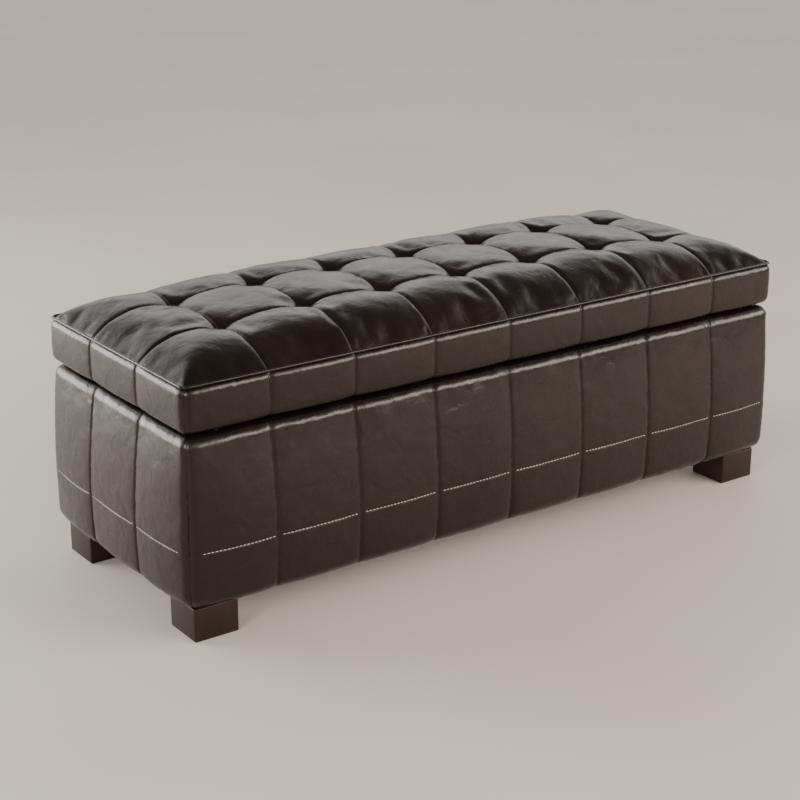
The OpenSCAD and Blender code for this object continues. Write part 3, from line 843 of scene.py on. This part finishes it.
def spread(values, from_x, from_y, to_x, to_y):
    """Values on one grid carried over to the points of a finer one."""
    rows = np.stack([np.interp(to_x, from_x, values[:, j]) for j in range(len(from_y))], axis=1)
    return np.stack([np.interp(to_y, from_y, rows[i]) for i in range(len(to_x))], axis=0)


fine_x, fine_y = cushion_places("front", 32), cushion_places("left", 32)
points, x, y, seam_x, seam_y, from_edge = cushion(fine_x, fine_y)
cloth_cell, spare = 7 * MM, 0.008
rise_cap, sink_cap, side_cap = 3 * MM, 1.5 * MM, 2.5 * MM
coarse = [np.linspace(-end, end, round(2 * end / cloth_cell) + 1)
          for end in (half["front"] - top_inset, half["left"] - top_inset)]
start, sx, sy, off_x, off_y, _ = cushion(*coarse)
held = np.min([np.hypot(sx - tx, sy - ty) for tx, ty in TUFTS], axis=0) < pinch_r
held |= np.minimum(off_x, off_y) < cloth_cell / 2
held[[0, -1]] = held[:, [0, -1]] = True
move = settled(start, held, spare)
move[..., 2] = np.clip(move[..., 2], -sink_cap, rise_cap)
move[..., :2] = np.clip(move[..., :2], -side_cap, side_cap)
for k in range(3):
    points[..., k] += spread(move[..., k], *coarse, fine_x, fine_y)
waves = 1.1 * soft_noise(points, 70 * MM, 41.7) + 0.5 * soft_noise(points, 26 * MM, 47.1)
near_long = half["left"] - np.abs(y) < half["front"] - np.abs(x)
gathers = puckers(np.where(near_long, x, y), from_edge, 2.5, 14 * MM)
creases = puckers(y, seam_x, 5.5) + puckers(x, seam_y, 6.5)
gathers = gathers * (1 - shoulder(np.minimum(seam_x, seam_y), 1, 5 * MM))
points[..., 2] += (waves + 1.3 * gathers + 0.7 * creases) * MM * np.clip(from_edge / (12 * MM), 0, 1)
top = new_piece("leather_lid_top", faced(grid_mesh(points), UP), leather, "lid", "leather", "lid_top_cover")
thickened(top, leather_t)

# ---------------------------------------------------------------------------------------------
# Lid lining: cloth stapled under the lid board, inside the turned-in border.
# It hangs by up to a millimetre between its staples.

low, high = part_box("lid_lining")
x, y, cloth = laid_flat(low, high, low.z, 91, 31)
sag_reach, sag_depth = 50 * MM, 0.9 * MM
inside = np.clip((high.x - np.abs(x)) / sag_reach, 0, 1) * np.clip((high.y - np.abs(y)) / sag_reach, 0, 1)
cloth[..., 2] -= sag_depth * inside * (0.5 + 0.5 * soft_noise(cloth, 80 * MM, 61.3))
under_lid = new_piece("lining_lid", faced(grid_mesh(cloth), -UP), lining, "lid", "lining", "lid_lining")
thickened(under_lid, high.z - low.z)

# ---------------------------------------------------------------------------------------------
# Setting: a plain pale floor, a surround that is bright low down and darker overhead, and three soft lights.
# The camera stands before the front left corner and looks down on it a little.

bm = bmesh.new()
bmesh.ops.create_grid(bm, x_segments=1, y_segments=1, size=40)
ground = bpy.data.meshes.new("floor")
bm.to_mesh(ground)
bm.free()
floor = bpy.data.objects.new("floor", ground)
bpy.context.scene.collection.objects.link(floor)
material, tree, shader, place = start_material("pale_floor", Roughness=0.6)
shade = add(tree, "ShaderNodeTexNoise", {"Vector": place, "Scale": 1.5}).outputs["Fac"]
tree.links.new(ramp(tree, shade, (0.3, "#d2c7ba"), (0.7, "#d8cec2")), shader.inputs["Base Color"])
ground.materials.append(material)

world = bpy.data.worlds.new("surround")
bpy.context.scene.world = world
world.use_nodes = True
sky = world.node_tree
back = sky.nodes["Background"]
back.inputs["Strength"].default_value = 1.7
direction = add(sky, "ShaderNodeTexCoord").outputs["Generated"]
upward = add(sky, "ShaderNodeSeparateXYZ", {"Vector": direction}).outputs["Z"]
sky.links.new(ramp(sky, upward, (0.0, "#9d968e"), (0.14, "#cfc9c1"), (0.22, "#fffdf8"),
                   (0.52, "#fffdf8"), (0.7, "#6a655f")),
              back.inputs["Color"])


def soft_light(name, place, aim, width, height, power, colour="#ffffff"):
    """A large rectangular light at place that shines towards aim."""
    lamp = bpy.data.lights.new(name, "AREA")
    lamp.shape, lamp.size, lamp.size_y, lamp.energy = "RECTANGLE", width, height, power
    lamp.color = linear(colour)[:3]
    light = bpy.data.objects.new(name, lamp)
    light.location = place
    light.rotation_euler = (Vector(aim) - Vector(place)).to_track_quat("-Z", "Y").to_euler()
    bpy.context.scene.collection.objects.link(light)


soft_light("window", (-2.1, 2.1, 0.75), (-0.4, 0, 0.3), 2.0, 1.4, 90, "#fbfdff")
soft_light("front_left", (-3.2, -1.7, 1.5), (-0.3, 0, 0.3), 0.9, 1.4, 45)
soft_light("front_strip", (2.2, -3.0, 1.45), (0.1, -0.2, 0.3), 3.4, 1.3, 145, "#fffaf4")

lens = bpy.data.cameras.new("camera")
lens.lens, lens.sensor_width = 80.8, 36
camera = bpy.data.objects.new("camera", lens)
camera.location = (-1.737, -2.359, 1.238)
turn, dip = math.radians(35.4), math.radians(19.4)
gaze = Vector((math.sin(turn) * math.cos(dip), math.cos(turn) * math.cos(dip), -math.sin(dip)))
camera.rotation_euler = gaze.to_track_quat("-Z", "Y").to_euler()
bpy.context.scene.collection.objects.link(camera)
bpy.context.scene.camera = camera
